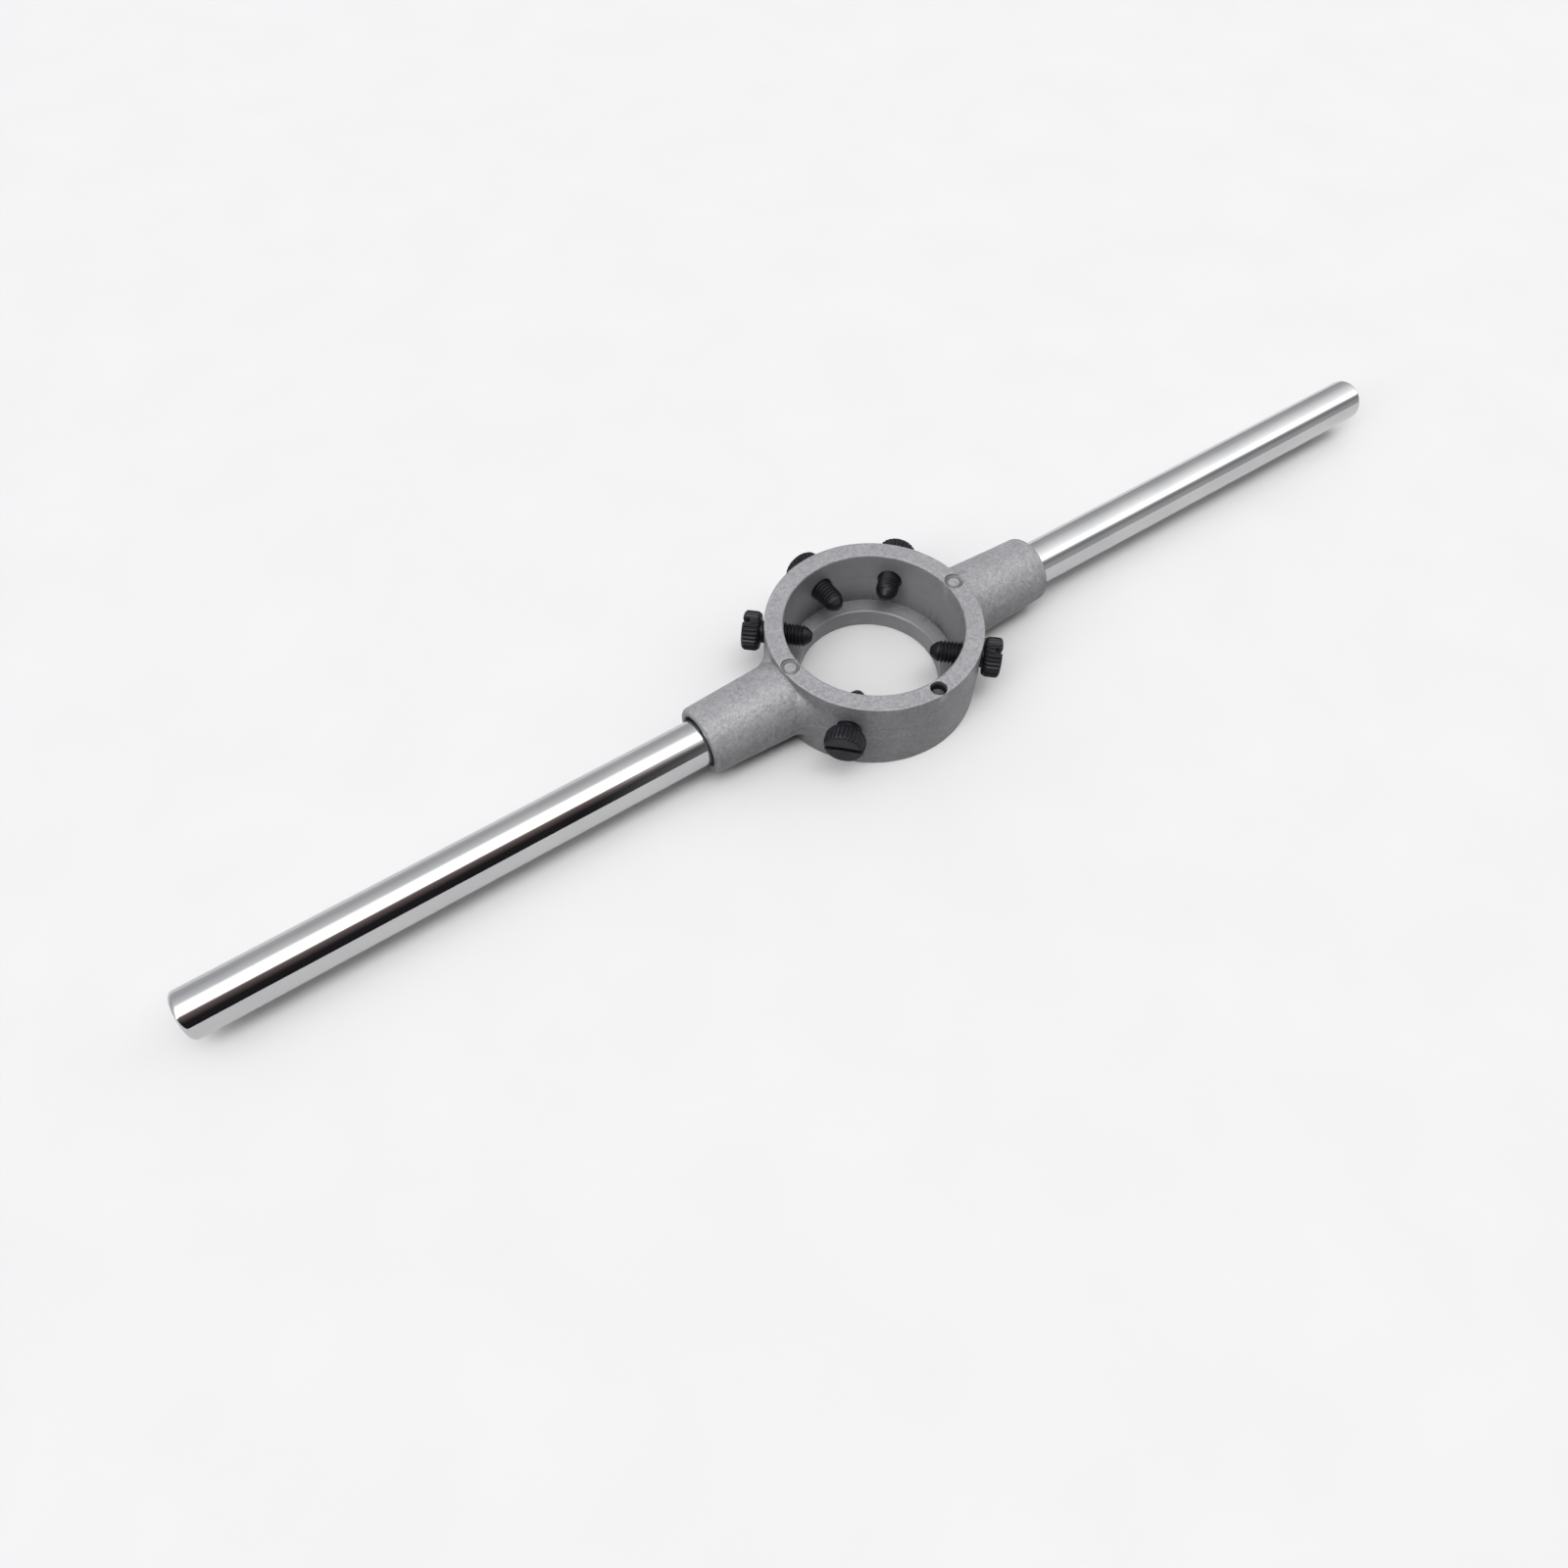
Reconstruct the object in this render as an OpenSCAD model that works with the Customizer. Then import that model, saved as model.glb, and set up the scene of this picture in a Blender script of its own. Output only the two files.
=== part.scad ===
// Round-die stock: a cast ring that holds a 38 mm round die, five radial
// screws that grip and adjust the die, and two rods that turn it.
// Units are millimetres. +Z is up, +X is the right-hand rod.
// The origin is the centre of the ring's bottom face.

/* [Die pocket] */
// Diameter of the round die that the pocket takes
die_d = 38; // [37:0.5:39]
// Thickness of the die, which is also the depth of the pocket
die_t = 14; // [12:0.5:16]
// Diametral clearance of the pocket round the die
pocket_gap = 0.1; // [0.05:0.05:0.3]
// Chamfer round the mouth of the pocket
pocket_chamfer = 0.35; // [0.2:0.05:0.6]
// Thickness of the ledge that the die sits on
ledge_t = 4.4; // [3.4:0.2:6]
// Diameter of the opening through the ledge
opening_d = 30.8; // [28:0.2:33]

/* [Ring] */
// Outer diameter of the ring
ring_d = 46.6; // [46:0.2:50]
// Chamfer on the ring's outer edges
ring_chamfer = 0.4; // [0.2:0.1:0.8]

/* [Sockets] */
// Distance from the centre to the mouth of each socket
socket_x = 43.6; // [40:0.2:50]
// Outer diameter of a socket at its mouth
socket_mouth_d = 14.8; // [14:0.2:16]
// Outer diameter of a socket where it meets the ring
socket_root_d = 16.4; // [16:0.2:17.4]
// Rounding of the socket's outer edge at the mouth
socket_round = 0.8; // [0.4:0.1:1.2]
// Diameter of the counterbore at the mouth
counterbore_d = 11.4; // [11:0.1:12.2]
// Depth of the counterbore
counterbore_t = 4; // [2:0.5:6]

/* [Handles] */
// Diameter of a handle rod
rod_d = 10; // [9:0.2:10.6]
// Length over both handle ends
overall_l = 300; // [240:1:340]
// Chamfer on the free end of a rod
rod_chamfer = 0.7; // [0.3:0.1:1.2]
// Diameter of the screwed spigot inside the socket
spigot_d = 8; // [7:0.2:8.6]

/* [Screws] */
// Outside diameter of the screw thread
screw_d = 4.9; // [4.4:0.1:4.9]
// Diametral clearance of the screw in its hole
screw_gap = 0.1; // [0.04:0.02:0.16]
// Pitch of the screw thread
screw_pitch = 0.8; // [0.7:0.1:1]
// Length from the underside of the head to the point
screw_l = 11.4; // [11:0.1:13]
// Diameter of the knurled head
head_d = 8.6; // [7.6:0.2:9.2]
// Thickness of the knurled head
head_t = 3.7; // [3:0.1:4.6]
// Number of knurl ridges round the head
knurl_n = 28; // [20:1:32]
// Depth of the knurl grooves
knurl_depth = 0.3; // [0.2:0.05:0.4]
// Width of the driver slot
slot_w = 1.2; // [0.8:0.1:1.6]
// Depth of the driver slot
slot_t = 1.5; // [1:0.1:2]

/* [Screw positions at rest] */
// Angle of each outer screw from the spreading screw's line
screw_spread = 48; // [44:1:52]
// Distance from the centre to the point of the spreading screw
spreading_tip = 12.2; // [12.2:0.1:14.4]
// Distance from the centre to the point of the right closing screw
closing_right_tip = 13.2; // [12.2:0.1:14.4]
// Distance from the centre to the point of the left closing screw
closing_left_tip = 12.8; // [12.2:0.1:14.4]
// Distance from the centre to the point of the left clamping screw
clamping_left_tip = 13.5; // [12.2:0.1:14.4]
// Distance from the centre to the point of the right clamping screw
clamping_right_tip = 12.3; // [12.2:0.1:14.4]

/* [Casting marks] */
// Diameter of the ejector marks and the cored hole in the rim
mark_d = 3.4; // [2:0.2:3.4]
// Depth of the two shallow ejector marks
mark_t = 0.4; // [0.1:0.05:0.5]
// Depth of the small cored hole
cored_t = 3; // [1:0.2:4]

/* [Hidden] */
$fn = 96;
body_h = ledge_t + die_t;            // height of the ring
rod_z = body_h / 2;                  // height of the handle axis
screw_z = ledge_t + die_t / 2;       // screws press on the middle of the die
pocket_r = (die_d + pocket_gap) / 2;
ring_r = ring_d / 2;
rim_r = (pocket_r + ring_r) / 2;     // middle of the rim
socket_end = ring_r + 1.6;           // bottom of the spigot hole
shoulder_x = socket_x - counterbore_t;
cast_grey = [0.63, 0.64, 0.66];
chrome = [0.86, 0.87, 0.88];
oxide = [0.10, 0.10, 0.11];

function arc(cx, cy, r, a0, a1, n) =
    [for (i = [0:n]) [cx + r * cos(a0 + (a1 - a0) * i / n),
                      cy + r * sin(a0 + (a1 - a0) * i / n)]];

// Solid of the ring before anything is cut from it
module ring_blank() {
    c = ring_chamfer;
    rotate_extrude()
        polygon([[0, 0], [ring_r - c, 0], [ring_r, c], [ring_r, body_h - c],
                 [ring_r - c, body_h], [0, body_h]]);
}

// One tapered socket, along +X, with a rounded mouth and a flared root
module socket_blank() {
    rr = socket_root_d / 2;
    rm = socket_mouth_d / 2;
    e = socket_round;
    translate([0, 0, rod_z]) rotate([0, 90, 0]) rotate_extrude()
        polygon(concat(
            [[0, 14], [rr, 14]],
            [[rr, ring_r + 1.2]],
            arc(rm - e, socket_x - e, e, 0, 90, 5),
            [[0, socket_x]]));
}

// Counterbore and spigot hole of one socket, along +X
module socket_hole() {
    translate([socket_end, 0, rod_z]) rotate([0, 90, 0])
        cylinder(d = spigot_d + 0.04, h = socket_x);
    translate([shoulder_x, 0, rod_z]) rotate([0, 90, 0])
        cylinder(d = counterbore_d, h = counterbore_t + 1);
}

// Hole for one screw, pointing outwards at angle a
module screw_hole(a) {
    rotate([0, 0, a]) translate([pocket_r - 4, 0, screw_z]) rotate([0, 90, 0])
        cylinder(d = screw_d + screw_gap, h = ring_r - pocket_r + 8);
}

module stock_body() {
    c = pocket_chamfer;
    color(cast_grey) difference() {
        union() {
            ring_blank();
            socket_blank();
            mirror([1, 0, 0]) socket_blank();
        }
        translate([0, 0, -1]) cylinder(d = opening_d, h = body_h + 2);
        rotate_extrude()
            polygon([[0, ledge_t], [pocket_r, ledge_t], [pocket_r, body_h - c],
                     [pocket_r + c + 1, body_h + 1], [0, body_h + 1]]);
        socket_hole();
        mirror([1, 0, 0]) socket_hole();
        for (a = [90, 90 - screw_spread, 90 + screw_spread,
                  270 - screw_spread, 270 + screw_spread]) screw_hole(a);
        for (s = [-1, 1])
            translate([s * rim_r, 0, body_h - mark_t])
                cylinder(d = mark_d, h = 2);
        rotate([0, 0, 1.5]) translate([0, -rim_r, body_h - cored_t])
            cylinder(d = mark_d, h = 4);
    }
}

// Rod with a screwed spigot, along +X; the shoulder seats in the counterbore
module handle() {
    c = rod_chamfer;
    r = rod_d / 2;
    s = spigot_d / 2;
    color(chrome) translate([0, 0, rod_z]) rotate([0, 90, 0]) rotate_extrude()
        polygon([[0, socket_end + 0.6], [s - 0.6, socket_end + 0.6],
                 [s, socket_end + 1.2], [s, shoulder_x], [r, shoulder_x],
                 [r, overall_l / 2 - c], [r - c, overall_l / 2],
                 [0, overall_l / 2]]);
}

module right_handle() { handle(); }
module left_handle() { mirror([1, 0, 0]) handle(); }

// Screw along +Z with its blunt cone point at the origin
module screw_shape() {
    r = screw_d / 2;
    nose_r = 0.8;                    // flat on the point
    nose_l = 2;                      // length of the cone behind it
    g = screw_pitch * 0.45;
    p = screw_pitch;
    n = floor((screw_l - nose_l - 1.2) / p);
    rotate_extrude($fn = 64)
        polygon(concat(
            [[0, 0], [nose_r, 0], [r - g, nose_l]],
            [for (i = [0:n - 1]) each [
                [r, nose_l + 0.35 * p + i * p],
                [r, nose_l + 0.50 * p + i * p],
                [r - g, nose_l + 0.85 * p + i * p],
                [r - g, nose_l + 1.00 * p + i * p]]],
            [[r - g, screw_l + 0.5], [0, screw_l + 0.5]]));
    difference() {
        intersection() {
            translate([0, 0, screw_l]) linear_extrude(height = head_t)
                polygon([for (i = [0:knurl_n - 1]) each [
                    let (a = 360 * i / knurl_n)
                        [head_d / 2 * cos(a), head_d / 2 * sin(a)],
                    let (a = 360 * (i + 0.28) / knurl_n)
                        [head_d / 2 * cos(a), head_d / 2 * sin(a)],
                    let (a = 360 * (i + 0.64) / knurl_n)
                        [(head_d / 2 - knurl_depth) * cos(a),
                         (head_d / 2 - knurl_depth) * sin(a)]]]);
            translate([0, 0, screw_l]) rotate_extrude($fn = 64)
                polygon([[0, 0], [head_d / 2 - 0.5, 0], [head_d / 2, 0.8],
                         [head_d / 2, head_t - 0.5],
                         [head_d / 2 - 0.5, head_t], [0, head_t]]);
        }
        translate([-head_d, -slot_w / 2, screw_l + head_t - slot_t])
            cube([2 * head_d, slot_w, slot_t + 1]);
    }
}

// Places a screw at angle a with its point at radius tip and its slot
// turned by roll about its own axis
module place_screw(a, tip, roll) {
    color(oxide) rotate([0, 0, a]) translate([tip, 0, screw_z])
        rotate([0, 90, 0]) rotate([0, 0, roll]) children();
}

module spreading_screw()
    place_screw(90, spreading_tip, 70) screw_shape();
module closing_screw_right()
    place_screw(90 - screw_spread, closing_right_tip, 105) screw_shape();
module closing_screw_left()
    place_screw(90 + screw_spread, closing_left_tip, 172) screw_shape();
module clamping_screw_left()
    place_screw(270 - screw_spread, clamping_left_tip, 96) screw_shape();
module clamping_screw_right()
    place_screw(270 + screw_spread, clamping_right_tip, 18) screw_shape();

stock_body();
left_handle();
right_handle();
spreading_screw();
closing_screw_left();
closing_screw_right();
clamping_screw_left();
clamping_screw_right();
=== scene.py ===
import math
import bpy
import numpy as np
from mathutils import Matrix, Vector

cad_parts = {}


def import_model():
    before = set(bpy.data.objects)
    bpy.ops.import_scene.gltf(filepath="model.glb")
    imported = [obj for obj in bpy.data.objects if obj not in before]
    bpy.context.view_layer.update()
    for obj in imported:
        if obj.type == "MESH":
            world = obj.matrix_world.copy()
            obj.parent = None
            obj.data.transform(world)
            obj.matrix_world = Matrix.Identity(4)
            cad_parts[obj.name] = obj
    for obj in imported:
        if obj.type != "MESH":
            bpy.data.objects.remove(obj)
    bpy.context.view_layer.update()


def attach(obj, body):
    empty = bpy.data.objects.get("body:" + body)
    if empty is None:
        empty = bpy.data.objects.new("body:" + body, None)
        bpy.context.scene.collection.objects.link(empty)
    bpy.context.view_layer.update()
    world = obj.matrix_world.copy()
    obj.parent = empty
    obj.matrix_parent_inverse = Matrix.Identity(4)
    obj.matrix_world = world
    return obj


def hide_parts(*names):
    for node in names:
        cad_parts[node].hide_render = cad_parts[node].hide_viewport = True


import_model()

MM = 0.001

# ---------------------------------------------------------------- sizes, mm
# The same dimensions as the CAD model: die pocket, ring, sockets, rods, screws.
POCKET_R, LEDGE_T, BODY_H, OPEN_R, RING_R = 19.05, 4.4, 18.4, 15.4, 23.3
MID_Z, SCREW_Z = BODY_H / 2, 11.4
SOCKET_X, MOUTH_R, ROOT_R = 43.6, 7.4, 8.2
CBORE_R, CBORE_X, SPIGOT_R, SPIGOT_X = 5.7, 39.6, 4.0, 24.9
ROD_R, ROD_END = 5.0, 150.0
SHANK_R, HOLE_R, PITCH = 2.45, 2.5, 0.8
SCREW_L, HEAD_R, HEAD_T, TEETH = 11.4, 4.3, 3.7, 28
MARK_R, CORE_ANGLE = 1.7, 271.5
RIM_R = (POCKET_R + RING_R) / 2
# name: (angle round the ring, distance of the point from the centre, turn
# about its own axis)
SCREWS = {
    "spreading_screw": (90, 12.2, 70),
    "closing_screw_right": (42, 13.2, 105),
    "closing_screw_left": (138, 12.8, 172),
    "clamping_screw_left": (222, 13.5, 96),
    "clamping_screw_right": (318, 12.3, 18),
}


# ------------------------------------------------------- implicit surfaces
def r_and(a, b, r):
    """Intersection of two solids with the outer edge rounded to radius r."""
    u, v = np.maximum(a + r, 0), np.maximum(b + r, 0)
    return np.minimum(np.maximum(a, b), -r) + np.sqrt(u * u + v * v)


def r_or(a, b, r):
    """Union of two solids with the inner corner filleted to radius r."""
    u, v = np.maximum(r - a, 0), np.maximum(r - b, 0)
    return np.maximum(np.minimum(a, b), r) - np.sqrt(u * u + v * v)


def r_cut(a, b, r):
    return r_and(a, -b, r)


def smooth(x, lo, hi):
    t = np.clip((x - lo) / (hi - lo), 0, 1)
    return t * t * (3 - 2 * t)


def waves(x, y, z, s, seed):
    """Gentle unevenness of a cast skin, from -1 to 1, about s mm across."""
    rng = np.random.default_rng(seed)
    total = 0.0
    for _ in range(7):
        k = rng.normal(size=3)
        k = k / np.linalg.norm(k) * (2 * math.pi / s) * rng.uniform(0.6, 1.5)
        total = total + np.sin(k[0] * x + k[1] * y + k[2] * z + rng.uniform(0, 6.28))
    return total / 4.5


def body_sdf(p):
    x, y, z = p[..., 0], p[..., 1], p[..., 2]
    r = np.sqrt(x * x + y * y)
    a = np.abs(x)
    # two die halves that meet at mid height, a little out of register
    below = smooth(z, MID_Z + 0.12, MID_Z - 0.12)
    draft = 0.010 * np.abs(z - MID_Z)
    skin_waves_and_side_shade = 0.022 * waves(x, y, z, 9.0, 3) + 0.010 * waves(x, y, z, 2.6, 8)
    wall = r - (RING_R - 0.12 + 0.05 * below - draft) + skin_waves_and_side_shade
    ring = r_and(wall, np.abs(z - MID_Z) - MID_Z, 0.3)
    rho = np.sqrt(y * y + (z - MID_Z) ** 2)
    taper = (ROOT_R - MOUTH_R) / (SOCKET_X - 24.0)
    side = (rho - (ROOT_R - 0.03 + 0.03 * below - taper * (a - 24.0))) * 0.998 + skin_waves_and_side_shade
    boss = r_and(side, a - SOCKET_X + 0.02, 0.95)
    boss = np.maximum(boss, 16.0 - a)
    lateral = np.abs(y) / np.maximum(rho, 1e-6)
    k = 0.12 + 3.2 * smooth(lateral, 0.5, 0.98)
    d = r_or(ring, boss, k)
    d = r_and(d, np.abs(z - MID_Z) - MID_Z, 0.2)
    # parting line: a thin raised seam on every cast side face
    seam = 0.045 * np.exp(-(((z - MID_Z) / 0.16) ** 2))
    d = d - seam * smooth(r, RING_R - 1.5, RING_R - 0.5)
    # die pocket with its ledge, and the opening through the ledge
    pocket = np.maximum(r - POCKET_R, LEDGE_T - z)
    mouth = (r - (POCKET_R + 0.35) + (BODY_H - z)) * 0.7071
    d = r_cut(d, np.minimum(pocket, mouth), 0.06)
    opening = np.minimum(r - OPEN_R, np.maximum(
        (r - (OPEN_R + 0.3) + np.abs(z - LEDGE_T)) * 0.7071, LEDGE_T - 1 - z))
    d = r_cut(d, opening, 0.1)
    # screw holes with broken edges
    for ang, _, _ in SCREWS.values():
        c, s = math.cos(math.radians(ang)), math.sin(math.radians(ang))
        u, v = x * c + y * s, -x * s + y * c
        rad = np.sqrt(v * v + (z - SCREW_Z) ** 2)
        edge = np.minimum(RING_R - r, r - POCKET_R)
        hole = np.minimum(rad - HOLE_R, (rad - (HOLE_R + 0.3) + edge) * 0.7071)
        d = r_cut(d, np.maximum(hole, 10 - u), 0.06)
    # sockets: spigot hole, counterbore, broken edge at the mouth
    hole = np.minimum(np.maximum(rho - SPIGOT_R - 0.02, SPIGOT_X - a),
                      np.maximum(rho - CBORE_R, CBORE_X - a))
    lip = (rho - (CBORE_R + 0.25) + (SOCKET_X - a)) * 0.7071
    d = r_cut(d, np.minimum(hole, lip), 0.06)
    # ejector marks on the rim, and the small cored hole
    pin = np.sqrt((a - RIM_R) ** 2 + y * y)
    ring_cut = np.maximum(pin - MARK_R, BODY_H - 0.38 - z)
    groove = np.sqrt((pin - MARK_R + 0.12) ** 2 + (z - BODY_H + 0.22) ** 2) - 0.4
    d = r_cut(d, np.minimum(ring_cut, groove), 0.06)
    ca = math.radians(CORE_ANGLE)
    core = np.sqrt((x - RIM_R * math.cos(ca)) ** 2 + (y - RIM_R * math.sin(ca)) ** 2)
    bottom = BODY_H - 3.0 - z + 0.25 * core
    cone = core - MARK_R + 0.05 - 0.03 * (z - BODY_H + 3.0)
    d = r_cut(d, r_and(cone, bottom, 0.2), 0.15)
    return d


def screw_sdf(p):
    """Screw along +Z with its blunt cone point at the origin."""
    x, y, z = p[..., 0], p[..., 1], p[..., 2]
    r = np.sqrt(x * x + y * y)
    phi = np.arctan2(y, x)
    ph = z / PITCH - phi / (2 * math.pi)
    tri = np.abs(2 * (ph - np.floor(ph)) - 1)
    depth = 0.44 * smooth(z, SCREW_L - 0.3, SCREW_L - 1.3) * smooth(z, 1.2, 2.2)
    shank = r - (SHANK_R - depth * np.clip(tri * 1.25 - 0.12, 0, 1))
    shank = np.maximum(shank * 0.7, z - SCREW_L - 0.6)
    nose = (r - 0.85 - z * 0.82) * 0.773
    shank = r_and(shank, nose, 0.5)
    shank = r_and(shank, -z, 0.4)
    neck = r_and(r - SHANK_R + 0.25, np.abs(z - SCREW_L + 0.1) - 0.7, 0.1)
    t = phi / (2 * math.pi) * TEETH
    knurl = np.abs(2 * (t - np.floor(t)) - 1)
    head = (r - (HEAD_R - 0.03 - 0.32 * np.clip(knurl * 1.35 - 0.25, 0, 1))) * 0.8
    zt = z - SCREW_L
    top = (r - (HEAD_R - 0.5) + (zt - HEAD_T)) * 0.7071
    low = (r - (HEAD_R - 0.5) - zt * 0.62) * 0.85
    head = r_and(r_and(head, top, 0.12), low, 0.12)
    head = r_and(head, np.abs(zt - HEAD_T / 2) - HEAD_T / 2, 0.12)
    slot = np.maximum(np.abs(y) - 0.6, HEAD_T - 1.5 - zt)
    head = r_cut(head, slot, 0.09)
    dish = np.sqrt(r * r + (zt - HEAD_T - 28.0) ** 2) - 28.12
    head = r_cut(head, dish, 0.08)
    return np.minimum(r_or(shank, neck, 0.1), head)


def gradient(f, v, e):
    g = np.empty_like(v)
    for i in range(3):
        d = np.zeros(3); d[i] = e
        g[:, i] = (f(v + d) - f(v - d)) / (2 * e)
    return g


def mesh_implicit(f, lo, hi, h, block=8):
    """Surface nets on a grid of step h, only near the surface."""
    lo = np.array(lo, float); hi = np.array(hi, float)
    nb = np.ceil((hi - lo) / (h * block)).astype(int)
    n = nb * block + 1
    F = np.full(n, 1e3, np.float32)
    bi = np.stack(np.meshgrid(*[np.arange(k) for k in nb], indexing="ij"), -1).reshape(-1, 3)
    centre = lo + (bi + 0.5) * block * h
    near = np.abs(f(centre)) < block * h * 1.35
    sign = f(centre)
    o = np.arange(block + 1)
    loc = np.stack(np.meshgrid(o, o, o, indexing="ij"), -1).reshape(-1, 3)
    for b in bi[~near & (sign < 0)]:
        i, j, k = b * block
        F[i:i + block + 1, j:j + block + 1, k:k + block + 1] = -1e3
    keep = bi[near]
    for c in range(0, len(keep), 600):
        part = keep[c:c + 600]
        idx = part[:, None, :] * block + loc[None]
        val = f(lo + idx * h)
        F[idx[..., 0], idx[..., 1], idx[..., 2]] = val
    S = F < 0
    cells = np.zeros(tuple(np.array(F.shape) - 1), np.int8)
    for dx in (0, 1):
        for dy in (0, 1):
            for dz in (0, 1):
                cells += S[dx:dx + cells.shape[0], dy:dy + cells.shape[1], dz:dz + cells.shape[2]]
    active = np.argwhere((cells > 0) & (cells < 8))
    number = np.full(cells.shape, -1, np.int32)
    number[tuple(active.T)] = np.arange(len(active))
    acc = np.zeros((len(active), 3)); cnt = np.zeros(len(active))
    corners = [(0, 0, 0), (1, 0, 0), (0, 1, 0), (1, 1, 0), (0, 0, 1), (1, 0, 1), (0, 1, 1), (1, 1, 1)]
    for ca in corners:
        for ax in range(3):
            if ca[ax]:
                continue
            cb = list(ca); cb[ax] = 1
            A = active + np.array(ca); B = active + np.array(cb)
            fa = F[tuple(A.T)].astype(float); fb = F[tuple(B.T)].astype(float)
            m = (fa < 0) != (fb < 0)
            t = fa[m] / (fa[m] - fb[m])
            acc[m] += A[m] + (B[m] - A[m]) * t[:, None]
            cnt[m] += 1
    verts = lo + acc / cnt[:, None] * h
    quads = []
    for ax in range(3):
        u, w = [(1, 2), (2, 0), (0, 1)][ax]
        sl0 = [slice(None)] * 3; sl1 = [slice(None)] * 3
        sl0[ax] = slice(0, -1); sl1[ax] = slice(1, None)
        edge = np.argwhere(S[tuple(sl0)] != S[tuple(sl1)])
        ok = (edge[:, u] > 0) & (edge[:, w] > 0) & (edge[:, u] < cells.shape[u]) & (edge[:, w] < cells.shape[w])
        edge = edge[ok]
        inside = S[tuple(edge.T)]
        def cell(du, dw):
            c = edge.copy(); c[:, u] -= du; c[:, w] -= dw
            return number[tuple(c.T)]
        q = np.stack([cell(1, 1), cell(0, 1), cell(0, 0), cell(1, 0)], 1)
        q[~inside] = q[~inside][:, ::-1]
        quads.append(q)
    quads = np.concatenate(quads)
    assert quads.min() >= 0
    return settle(f, verts, h, 4), quads


def settle(f, v, h, times):
    """Moves vertices on to the true surface."""
    for _ in range(times):
        g = gradient(f, v, h * 0.08)
        q = np.maximum((g * g).sum(1), 0.15)
        step = -(f(v) / q)[:, None] * g
        size = np.linalg.norm(step, axis=1)
        v = v + step * np.minimum(1, 0.5 * h / np.maximum(size, 1e-9))[:, None]
    return v


def make_mesh(name, verts, faces):
    me = bpy.data.meshes.new(name)
    me.from_pydata((verts * MM).tolist(), [], [tuple(int(i) for i in q) for q in faces])
    me.update()
    return me


def thin(me, faces_wanted):
    """Fewer faces where the surface is plain; returns a new mesh."""
    tris = len(me.polygons) * 2
    if tris <= faces_wanted:
        return me
    ob = bpy.data.objects.new("thin_tmp", me)
    bpy.context.scene.collection.objects.link(ob)
    m = ob.modifiers.new("thin", "DECIMATE")
    m.ratio = faces_wanted / tris
    dg = bpy.context.evaluated_depsgraph_get()
    new = bpy.data.meshes.new_from_object(ob.evaluated_get(dg))
    bpy.data.objects.remove(ob)
    return new


def implicit_object(name, f, lo, hi, h, faces, reach=0.35):
    verts, quads = mesh_implicit(f, lo, hi, h)
    me = thin(make_mesh(name, verts, quads), faces)
    me.name = name
    co = np.empty(len(me.vertices) * 3); me.vertices.foreach_get("co", co)
    v = settle(f, co.reshape(-1, 3) / MM, h, 2)
    me.vertices.foreach_set("co", (v * MM).ravel())
    g = gradient(f, v, h * 0.15)
    nrm = g / np.maximum(np.linalg.norm(g, axis=1), 1e-9)[:, None]
    # how far each point stands on an outer edge or in an inner corner
    edge = np.clip((f(v - nrm * reach) + reach) / reach, 0, 1)
    crease = np.clip((reach - f(v + nrm * reach)) / reach, 0, 1)
    for key, val in (("edge", edge), ("crease", crease)):
        at = me.attributes.new(key, "FLOAT", "POINT")
        at.data.foreach_set("value", val.astype(np.float32))
    me.polygons.foreach_set("use_smooth", [True] * len(me.polygons))
    me.update()
    me.normals_split_custom_set_from_vertices(nrm.tolist())
    ob = bpy.data.objects.new(name, me)
    bpy.context.scene.collection.objects.link(ob)
    return ob


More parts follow.
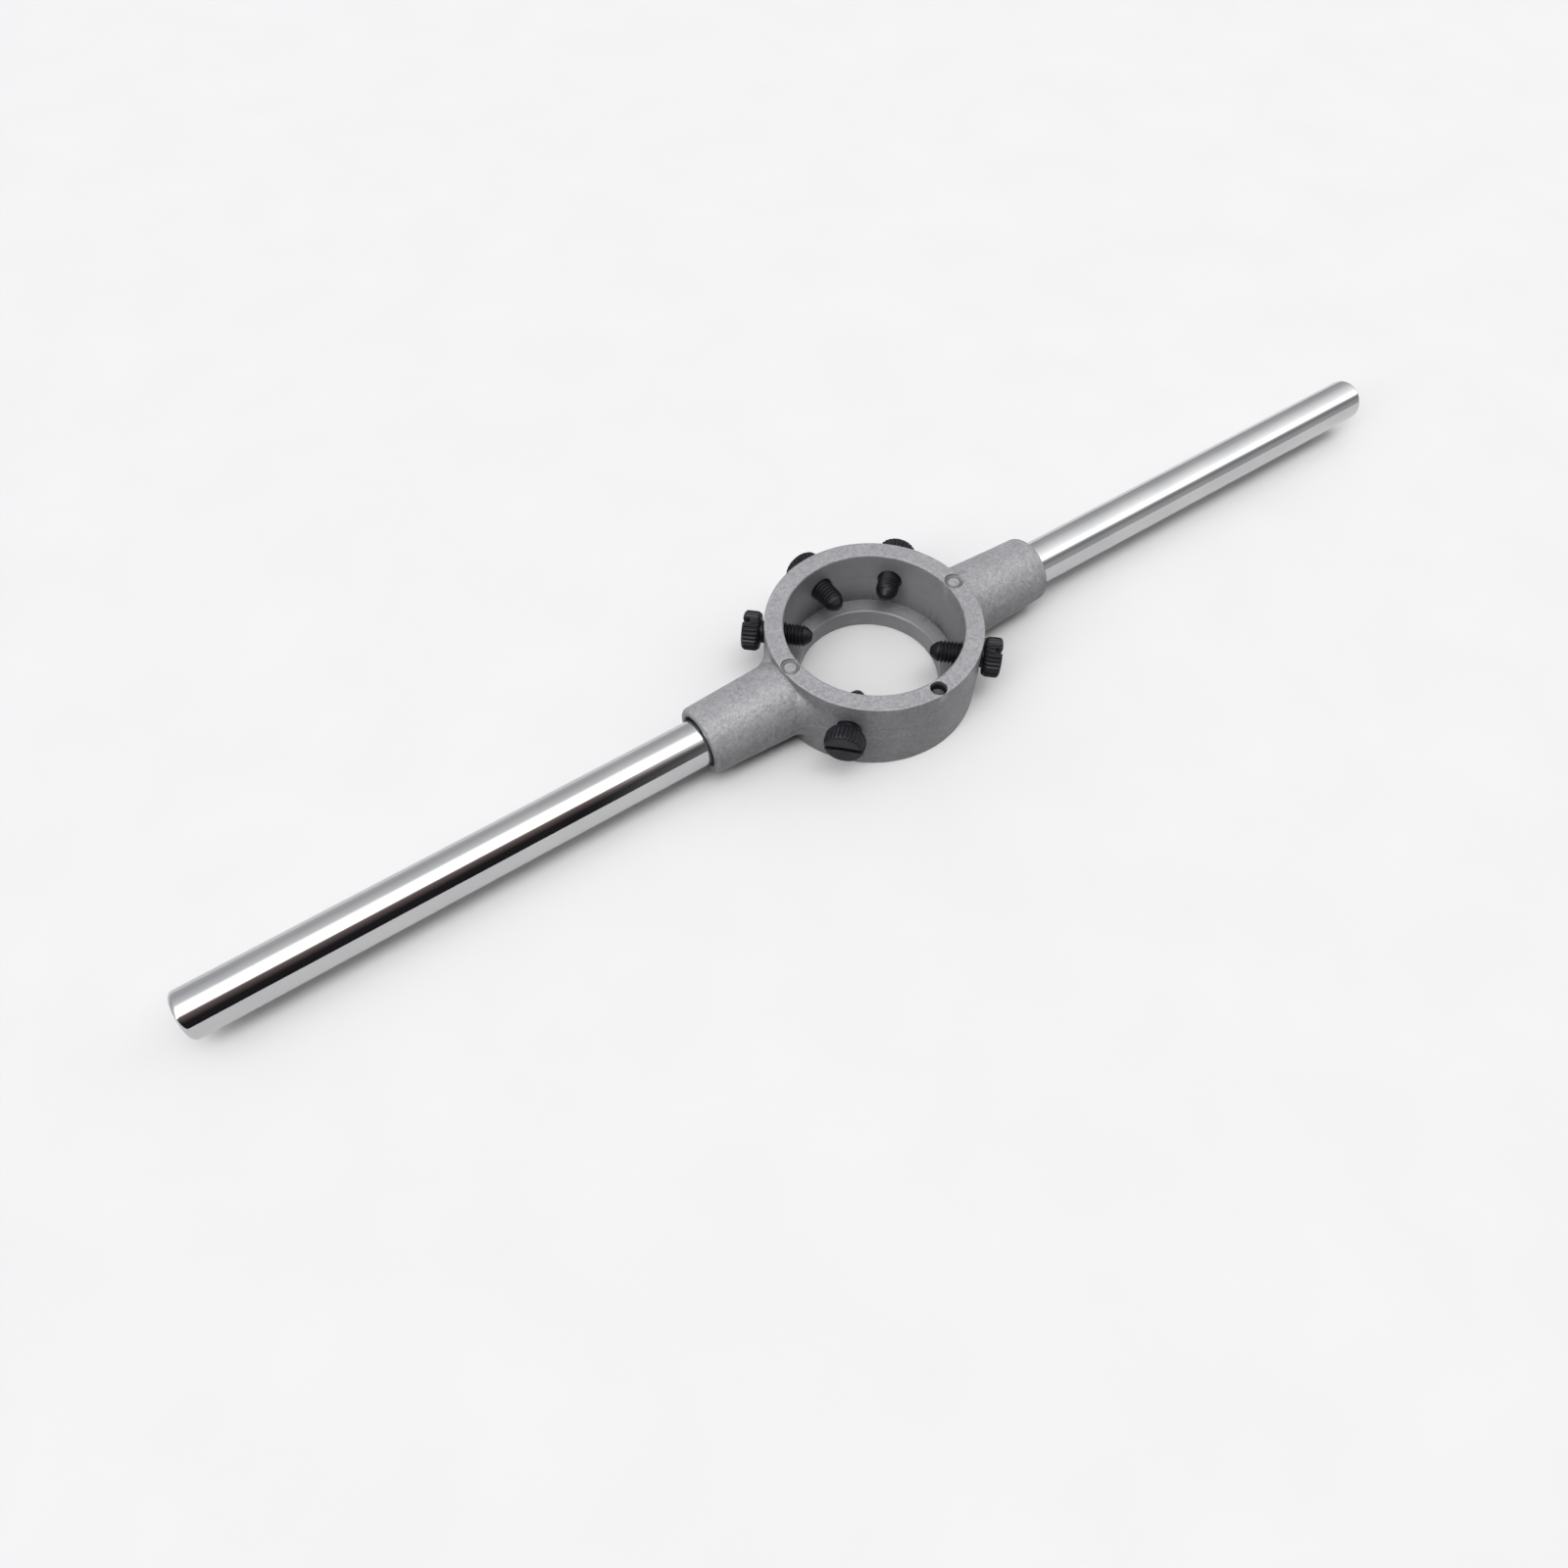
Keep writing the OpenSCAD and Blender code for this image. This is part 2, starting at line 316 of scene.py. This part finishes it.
# ----------------------------------------------------------------- materials
class Nodes:
    def __init__(self, name):
        self.mat = bpy.data.materials.new(name)
        self.mat.use_nodes = True
        self.t = self.mat.node_tree
        self.b = self.t.nodes["Principled BSDF"]
        self.out = self.t.nodes["Material Output"]
        tc = self.t.nodes.new("ShaderNodeTexCoord")
        self.obj = tc.outputs["Object"]

    def link(self, a, b):
        self.t.links.new(a, b)

    def node(self, kind, **kw):
        n = self.t.nodes.new(kind)
        for k, v in kw.items():
            if k in n.inputs:
                s = n.inputs[k]
                if isinstance(v, bpy.types.NodeSocket):
                    self.link(v, s)
                else:
                    s.default_value = v
            else:
                setattr(n, k, v)
        return n

    def scale(self, x, y, z):
        m = self.node("ShaderNodeMapping", vector_type="POINT")
        m.inputs["Scale"].default_value = (x, y, z)
        self.link(self.obj, m.inputs["Vector"])
        return m.outputs["Vector"]

    def noise(self, scale, detail=3.0, rough=0.55, vec=None, distort=0.0):
        n = self.node("ShaderNodeTexNoise", Scale=scale, Detail=detail, Roughness=rough, Distortion=distort)
        self.link(vec or self.obj, n.inputs["Vector"])
        return n.outputs["Fac"]

    def ramp(self, fac, stops):
        n = self.t.nodes.new("ShaderNodeValToRGB")
        self.link(fac, n.inputs["Fac"])
        el = n.color_ramp.elements
        while len(el) < len(stops):
            el.new(0.5)
        for e, (pos, col) in zip(el, stops):
            e.position = pos
            e.color = (*col, 1) if hasattr(col, "__len__") else (col, col, col, 1)
        return n.outputs["Color"]

    def math(self, op, a, b=0.0, c=0.0, clamp=False):
        n = self.t.nodes.new("ShaderNodeMath")
        n.operation = op; n.use_clamp = clamp
        for i, v in enumerate((a, b, c)):
            if isinstance(v, bpy.types.NodeSocket):
                self.link(v, n.inputs[i])
            else:
                n.inputs[i].default_value = v
        return n.outputs[0]

    def mix(self, fac, a, b, blend="MIX"):
        n = self.t.nodes.new("ShaderNodeMix")
        n.data_type = "RGBA"; n.blend_type = blend
        for s, v in ((n.inputs[0], fac), (n.inputs[6], a), (n.inputs[7], b)):
            if isinstance(v, bpy.types.NodeSocket):
                self.link(v, s)
            elif hasattr(v, "__len__"):
                s.default_value = (*v, 1)
            else:
                s.default_value = v
        return n.outputs[2]

    def attribute(self, name):
        n = self.t.nodes.new("ShaderNodeAttribute")
        n.attribute_name = name
        return n.outputs["Fac"]

    def bump(self, height, dist, strength=1.0, normal=None):
        n = self.t.nodes.new("ShaderNodeBump")
        n.inputs["Strength"].default_value = strength
        n.inputs["Distance"].default_value = dist
        self.link(height, n.inputs["Height"])
        if normal is not None:
            self.link(normal, n.inputs["Normal"])
        return n.outputs["Normal"]


def cast_material():
    n = Nodes("cast_body")
    sep = n.node("ShaderNodeSeparateXYZ"); n.link(n.obj, sep.inputs[0])
    x, y, z = sep.outputs
    r = n.math("SQRT", n.math("ADD", n.math("MULTIPLY", x, x), n.math("MULTIPLY", y, y)))
    # turned surfaces: the pocket wall, the ledge and the opening
    inside = n.math("LESS_THAN", r, 0.01912)
    grain = n.noise(1750, 3, 0.6)
    mottle = n.noise(820, 3, 0.6, distort=0.4)
    fine = n.noise(5200, 2, 0.5)
    patch = n.noise(120, 3, 0.55)
    blotch = n.noise(330, 3, 0.6)
    col = n.ramp(n.math("ADD", n.math("MULTIPLY", patch, 0.5), n.math("MULTIPLY", blotch, 0.5)),
                 [(0.32, (0.168, 0.169, 0.178)), (0.52, (0.188, 0.189, 0.198)), (0.72, (0.210, 0.210, 0.217))])
    speck = n.ramp(n.math("ADD", n.math("MULTIPLY", grain, 0.6), n.math("MULTIPLY", mottle, 0.4)),
                   [(0.34, 0.52), (0.5, 1.0), (0.66, 1.48)])
    col = n.mix(n.math("SUBTRACT", 0.62, n.math("MULTIPLY", inside, 0.45)), col, speck, "MULTIPLY")
    turned_vec = n.node("ShaderNodeCombineXYZ")
    n.link(n.math("MULTIPLY", r, 6500.0), turned_vec.inputs[0])
    n.link(n.math("MULTIPLY", z, 6500.0), turned_vec.inputs[1])
    turned = n.node("ShaderNodeTexNoise", Scale=1.0, Detail=2.0, Roughness=0.6)
    n.link(turned_vec.outputs[0], turned.inputs["Vector"])
    lathe = n.ramp(turned.outputs["Fac"], [(0.3, (0.105, 0.105, 0.112)), (0.7, (0.155, 0.155, 0.162))])
    col = n.mix(n.math("MULTIPLY", inside, 0.7), col, lathe)
    # painted shade: the sides are darkened by how far they turn from facing up, and the faces looking up keep their
    # full colour
    up = n.node("ShaderNodeSeparateXYZ")
    n.link(n.node("ShaderNodeTexCoord").outputs["Normal"], up.inputs[0])
    skin_waves_and_side_shade = n.ramp(up.outputs[2], [(0.05, 0.60), (0.72, 0.97)])
    col = n.mix(n.math("SUBTRACT", 1.0, inside), col, skin_waves_and_side_shade, "MULTIPLY")
    # painted shade: inner corners, creases and grooves are darkened towards near black
    crease = n.attribute("crease")
    col = n.mix(n.math("MULTIPLY", n.math("POWER", crease, 1.2), 1.0, clamp=True), col, (0.035, 0.034, 0.036))
    edge = n.attribute("edge")
    worn = n.math("MULTIPLY", n.math("POWER", edge, 1.3), n.ramp(blotch, [(0.35, 0.15), (0.65, 1.0)]), clamp=True)
    col = n.mix(n.math("MULTIPLY", worn, 0.55), col, (0.38, 0.38, 0.39))
    # painted shade: the small cored hole is darkened to near black below the rim
    ca = math.radians(CORE_ANGLE)
    dx = n.math("SUBTRACT", x, RIM_R * math.cos(ca) * MM)
    dy = n.math("SUBTRACT", y, RIM_R * math.sin(ca) * MM)
    near = n.math("LESS_THAN", n.math("SQRT", n.math("ADD", n.math("MULTIPLY", dx, dx), n.math("MULTIPLY", dy, dy))), 0.0019)
    low = n.math("DIVIDE", n.math("SUBTRACT", (BODY_H - 0.2) * MM, z), 0.0012, clamp=True)
    col = n.mix(n.math("MULTIPLY", n.math("MULTIPLY", near, low), 0.97), col, (0.005, 0.005, 0.006))
    # painted shade: a dark ring in the sunk groove round each ejector mark, below the rim face
    mx = n.math("SUBTRACT", n.math("ABSOLUTE", x), RIM_R * MM)
    pin = n.math("SQRT", n.math("ADD", n.math("MULTIPLY", mx, mx), n.math("MULTIPLY", y, y)))
    off = n.math("ABSOLUTE", n.math("SUBTRACT", pin, (MARK_R - 0.12) * MM))
    ring = n.math("SUBTRACT", 1.0, n.math("DIVIDE", off, 0.00042), clamp=True)
    sunk = n.math("MULTIPLY", n.math("GREATER_THAN", z, 0.0175),
                  n.math("DIVIDE", n.math("SUBTRACT", (BODY_H - 0.04) * MM, z), 0.00012, clamp=True))
    col = n.mix(n.math("MULTIPLY", n.math("MULTIPLY", n.math("POWER", ring, 0.5), sunk), 0.8), col, (0.03, 0.03, 0.032))
    n.link(col, n.b.inputs["Base Color"])
    n.b.inputs["Metallic"].default_value = 0.05
    n.b.inputs["Specular IOR Level"].default_value = 0.62
    rough = n.ramp(n.math("ADD", n.math("MULTIPLY", grain, 0.5), n.math("MULTIPLY", patch, 0.5)),
                   [(0.3, 0.52), (0.7, 0.38)])
    rough = n.mix(n.math("MULTIPLY", inside, 0.8), rough, (0.36, 0.36, 0.36))
    rough = n.mix(n.math("MULTIPLY", worn, 0.5), rough, (0.28, 0.28, 0.28))
    n.link(rough, n.b.inputs["Roughness"])
    cast_only = n.math("SUBTRACT", 1.0, n.math("MULTIPLY", inside, 0.85))
    height = n.math("ADD", n.math("MULTIPLY", grain, 0.55),
                    n.math("ADD", n.math("MULTIPLY", mottle, 0.75), n.math("MULTIPLY", fine, 0.12)))
    height = n.math("MULTIPLY", height, cast_only)
    b1 = n.bump(n.math("MULTIPLY", turned.outputs["Fac"], inside), 0.00002)
    b2 = n.bump(n.math("MULTIPLY", blotch, cast_only), 0.00012, 0.7, b1)
    n.link(n.bump(height, 0.00024, 0.9, b2), n.b.inputs["Normal"])
    return n.mat


def chrome_material():
    n = Nodes("chromed_rod")
    # drawn marks run along the rod; the plating has a faint long ripple
    drawn = n.noise(1.0, 3, 0.6, n.scale(25, 5200, 5200))
    ripple = n.noise(1.0, 1.5, 0.4, n.scale(22, 160, 160))
    cloud = n.noise(90, 2, 0.5)
    pits = n.noise(900, 2, 0.5)
    col = n.ramp(cloud, [(0.3, (0.50, 0.505, 0.51)), (0.7, (0.545, 0.545, 0.54))])
    spot = n.ramp(pits, [(0.22, 0.82), (0.30, 1.0)])
    n.link(n.mix(0.5, col, spot, "MULTIPLY"), n.b.inputs["Base Color"])
    n.b.inputs["Metallic"].default_value = 1.0
    rough = n.math("ADD", n.ramp(cloud, [(0.3, 0.035), (0.7, 0.065)]),
                   n.ramp(drawn, [(0.35, 0.0), (0.75, 0.05)]))
    n.link(rough, n.b.inputs["Roughness"])
    b = n.bump(ripple, 0.00012, 0.35)
    n.link(n.bump(drawn, 0.0000015, 1.0, b), n.b.inputs["Normal"])
    return n.mat


def oxide_material():
    n = Nodes("black_screw")
    grain = n.noise(4200, 3, 0.6)
    patch = n.noise(650, 3, 0.6)
    col = n.ramp(patch, [(0.3, (0.004, 0.004, 0.006)), (0.7, (0.011, 0.011, 0.014))])
    edge = n.attribute("edge"); crease = n.attribute("crease")
    worn = n.math("MULTIPLY", n.math("POWER", edge, 1.8), n.ramp(grain, [(0.35, 0.2), (0.7, 1.0)]), clamp=True)
    col = n.mix(n.math("MULTIPLY", worn, 0.5), col, (0.075, 0.075, 0.08))
    # painted shade: inner corners, thread roots and the slot are darkened further
    col = n.mix(n.math("MULTIPLY", crease, 0.8, clamp=True), col, (0.004, 0.004, 0.005))
    n.link(col, n.b.inputs["Base Color"])
    n.b.inputs["Metallic"].default_value = 0.15
    n.b.inputs["Specular IOR Level"].default_value = 0.22
    n.link(n.ramp(n.math("ADD", n.math("MULTIPLY", grain, 0.5), n.math("MULTIPLY", patch, 0.5)),
                  [(0.3, 0.30), (0.7, 0.46)]), n.b.inputs["Roughness"])
    n.link(n.bump(grain, 0.00002, 0.7), n.b.inputs["Normal"])
    return n.mat


cast, chrome, oxide = cast_material(), chrome_material(), oxide_material()


# -------------------------------------------------------------- the casting
casting = implicit_object("casting", body_sdf, (-44.9, -23.9, -0.5), (44.9, 23.9, 18.9), 0.22, 185000)
casting.data.materials.append(cast)
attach(casting, "stock")
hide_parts("stock_body")


# ---------------------------------------------------------------- the rods
def rod_mesh(name, sign):
    """Turned rod: plain length, rounded free end, screwed spigot."""
    seg = 128
    prof = []  # (x, radius, thread weight)
    prof += [(SPIGOT_X + 0.6, 3.2, 0), (SPIGOT_X + 1.0, 3.55, 0)]
    x = SPIGOT_X + 1.2
    while x < CBORE_X - 1.4:
        prof.append((x, SPIGOT_R, 1)); x += 0.1
    prof += [(CBORE_X - 1.2, 3.5, 0), (CBORE_X - 0.2, 3.5, 0), (CBORE_X, 3.7, 0)]
    prof += [(CBORE_X + 0.001, ROD_R - 0.25, 0), (CBORE_X + 0.1, ROD_R - 0.08, 0), (CBORE_X + 0.3, ROD_R, 0)]
    prof += [(CBORE_X + 1.0 + i * (ROD_END - CBORE_X - 3.0) / 20, ROD_R, 0) for i in range(21)]
    e = 1.15
    prof += [(ROD_END - e + e * math.sin(t) - 0.0, ROD_R - e + e * math.cos(t), 0)
             for t in [i * math.pi / 2 / 10 for i in range(11)]]
    prof += [(ROD_END - 0.0, 3.0, 0), (ROD_END, 1.2, 0)]
    V, Fc = [], []
    for (px, pr, w) in prof:
        for i in range(seg):
            t = 2 * math.pi * i / seg
            rr = pr
            if w:
                ph = px / 1.25 - sign * i / seg
                rr = pr - 0.6 * min(1, max(0, abs(2 * (ph % 1) - 1) * 1.2 - 0.1))
            V.append((sign * px, rr * math.cos(t), MID_Z + rr * math.sin(t)))
    m = len(prof)
    for j in range(m - 1):
        for i in range(seg):
            a, b = j * seg + i, j * seg + (i + 1) % seg
            q = (a, b, b + seg, a + seg)
            Fc.append(q if sign < 0 else q[::-1])
    V += [(sign * prof[0][0], 0, MID_Z), (sign * prof[-1][0], 0, MID_Z)]
    for i in range(seg):
        q = (len(V) - 2, (i + 1) % seg, i)
        Fc.append(q if sign < 0 else q[::-1])
        k = (m - 1) * seg
        q = (len(V) - 1, k + i, k + (i + 1) % seg)
        Fc.append(q if sign < 0 else q[::-1])
    me = bpy.data.meshes.new(name)
    me.from_pydata([(a * MM, b * MM, c * MM) for a, b, c in V], [], Fc)
    me.polygons.foreach_set("use_smooth", [True] * len(me.polygons))
    me.update()
    me.set_sharp_from_angle(angle=math.radians(50))
    ob = bpy.data.objects.new(name, me)
    bpy.context.scene.collection.objects.link(ob)
    return ob


for side, sign in (("left", -1), ("right", 1)):
    rod = rod_mesh(side + "_rod", sign)
    rod.data.materials.append(chrome)
    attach(rod, "stock")
    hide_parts(side + "_handle")


# --------------------------------------------------------------- the screws
master = implicit_object("screw_shape", screw_sdf, (-4.6, -4.6, -0.3),
                         (4.6, 4.6, SCREW_L + HEAD_T + 0.3), 0.13, 60000, 0.2)
master.data.materials.append(oxide)

for name, (ang, tip, roll) in SCREWS.items():
    a = math.radians(ang)
    ob = bpy.data.objects.new(name.replace("_screw", "_thumb_screw"), master.data)
    bpy.context.scene.collection.objects.link(ob)
    ob.matrix_world = (Matrix.Rotation(a, 4, "Z")
                       @ Matrix.Translation(Vector((tip, 0, SCREW_Z)) * MM)
                       @ Matrix.Rotation(math.pi / 2, 4, "Y")
                       @ Matrix.Rotation(math.radians(roll), 4, "Z"))
    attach(ob, name)
    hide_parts(name)
bpy.data.objects.remove(master)


# ------------------------------------------------------ floor, light, camera
def floor():
    me = bpy.data.meshes.new("floor")
    s = 3.0
    me.from_pydata([(-s, -s, 0), (s, -s, 0), (s, s, 0), (-s, s, 0)], [], [(0, 1, 2, 3)])
    ob = bpy.data.objects.new("floor", me)
    bpy.context.scene.collection.objects.link(ob)
    ob.location.z = -0.00004
    n = Nodes("floor_paper")
    tone = n.noise(40, 2, 0.5)
    n.link(n.ramp(tone, [(0.3, (0.455, 0.455, 0.46)), (0.7, (0.465, 0.465, 0.47))]), n.b.inputs["Base Color"])
    n.b.inputs["Roughness"].default_value = 0.9
    me.materials.append(n.mat)
    return ob


floor()


def world():
    """Soft studio surround: pale behind, brightest overhead, dark in front."""
    w = bpy.data.worlds.new("studio")
    bpy.context.scene.world = w
    w.use_nodes = True
    t = w.node_tree
    bg = t.nodes["Background"]
    tc = t.nodes.new("ShaderNodeTexCoord")
    sep = t.nodes.new("ShaderNodeSeparateXYZ")
    t.links.new(tc.outputs["Generated"], sep.inputs[0])

    def m(op, a, b=0.0, clamp=False):
        n = t.nodes.new("ShaderNodeMath"); n.operation = op; n.use_clamp = clamp
        for i, v in enumerate((a, b)):
            if isinstance(v, bpy.types.NodeSocket):
                t.links.new(v, n.inputs[i])
            else:
                n.inputs[i].default_value = v
        return n.outputs[0]

    x, y, z = sep.outputs
    # turn about the rods' line: 0 behind, 0.5 overhead, 1 in front
    ang = m("DIVIDE", m("ARCTAN2", z, y), math.pi)

    def ramp(stops):
        n = t.nodes.new("ShaderNodeValToRGB")
        t.links.new(ang, n.inputs["Fac"])
        el = n.color_ramp.elements
        while len(el) < len(stops):
            el.new(0.5)
        for e, (deg, c) in zip(el, stops):
            e.position = (90 + deg) / 180
            e.color = (c[0] / 10, c[1] / 10, c[2] / 10, 1)
        return n.outputs["Color"]

    mix = t.nodes.new("ShaderNodeMix"); mix.data_type = "RGBA"
    side = m("MULTIPLY", m("SUBTRACT", x, 0.16), 3.6, clamp=True)
    t.links.new(side, mix.inputs[0])
    t.links.new(ramp(LEFT), mix.inputs[6])
    t.links.new(ramp(RIGHT), mix.inputs[7])
    t.links.new(mix.outputs[2], bg.inputs["Color"])
    bg.inputs["Strength"].default_value = 10.0 * WORLD_GAIN


# Radiance by degrees from straight up, towards the front (-Y) positive. The
# front is dark round the middle and left, and pale on the right.
LEFT = [
    (-90, (0.55, 0.55, 0.57)),
    (-62, (0.50, 0.50, 0.52)),
    (-40, (0.68, 0.68, 0.70)),
    (-24, (0.85, 0.85, 0.87)),
    (-13, (1.9, 1.9, 1.9)),
    (4, (2.4, 2.4, 2.4)),
    (10, (8.2, 8.2, 8.2)),
    (21, (8.2, 8.2, 8.2)),
    (27, (1.2, 1.15, 1.12)),
    (32, (0.20, 0.15, 0.15)),
    (48, (0.09, 0.07, 0.07)),
    (60, (0.018, 0.016, 0.018)),
    (90, (0.014, 0.014, 0.016)),
]
RIGHT = [
    (-90, (0.38, 0.38, 0.40)),
    (-50, (0.56, 0.56, 0.58)),
    (-10, (1.10, 1.10, 1.12)),
    (10, (1.45, 1.45, 1.45)),
    (21, (2.3, 2.3, 2.3)),
    (34, (2.3, 2.3, 2.3)),
    (46, (0.42, 0.42, 0.43)),
    (56, (0.24, 0.24, 0.25)),
    (70, (0.40, 0.40, 0.41)),
    (90, (0.46, 0.46, 0.46)),
]
WORLD_GAIN = 1.16
world()


def camera():
    cam = bpy.data.cameras.new("camera")
    ob = bpy.data.objects.new("camera", cam)
    bpy.context.scene.collection.objects.link(ob)
    bpy.context.scene.camera = ob
    cam.sensor_width = 36
    cam.sensor_fit = "HORIZONTAL"
    cam.lens = CAM["f"] / 1600 * 36
    cam.clip_start, cam.clip_end = 0.01, 20
    k = 19.05 / 19
    phi, th, ro = (math.radians(CAM[i]) for i in ("phi", "th", "roll"))
    turn = Matrix.Rotation(-phi, 3, "Z")
    loc = turn @ Vector((-CAM["x"], -CAM["y"], 0)) * k
    loc.z = CAM["h"] * k
    fw = Vector((0, math.cos(th), -math.sin(th)))
    dn = Vector((0, -math.sin(th), -math.cos(th)))
    rt = Vector((1, 0, 0))
    r2 = rt * math.cos(ro) + dn * math.sin(ro)
    d2 = dn * math.cos(ro) - rt * math.sin(ro)
    rot = Matrix((turn @ r2, turn @ -d2, turn @ -fw)).transposed().to_4x4()
    ob.matrix_world = Matrix.Translation(loc * MM) @ rot


CAM = {"f": 1141.5, "th": 57, "roll": 0, "h": 195.578, "x": 18.829, "y": 155.354, "phi": 33.72}
camera()
bpy.context.scene.view_settings.view_transform = "Standard"
bpy.context.scene.view_settings.look = "None"
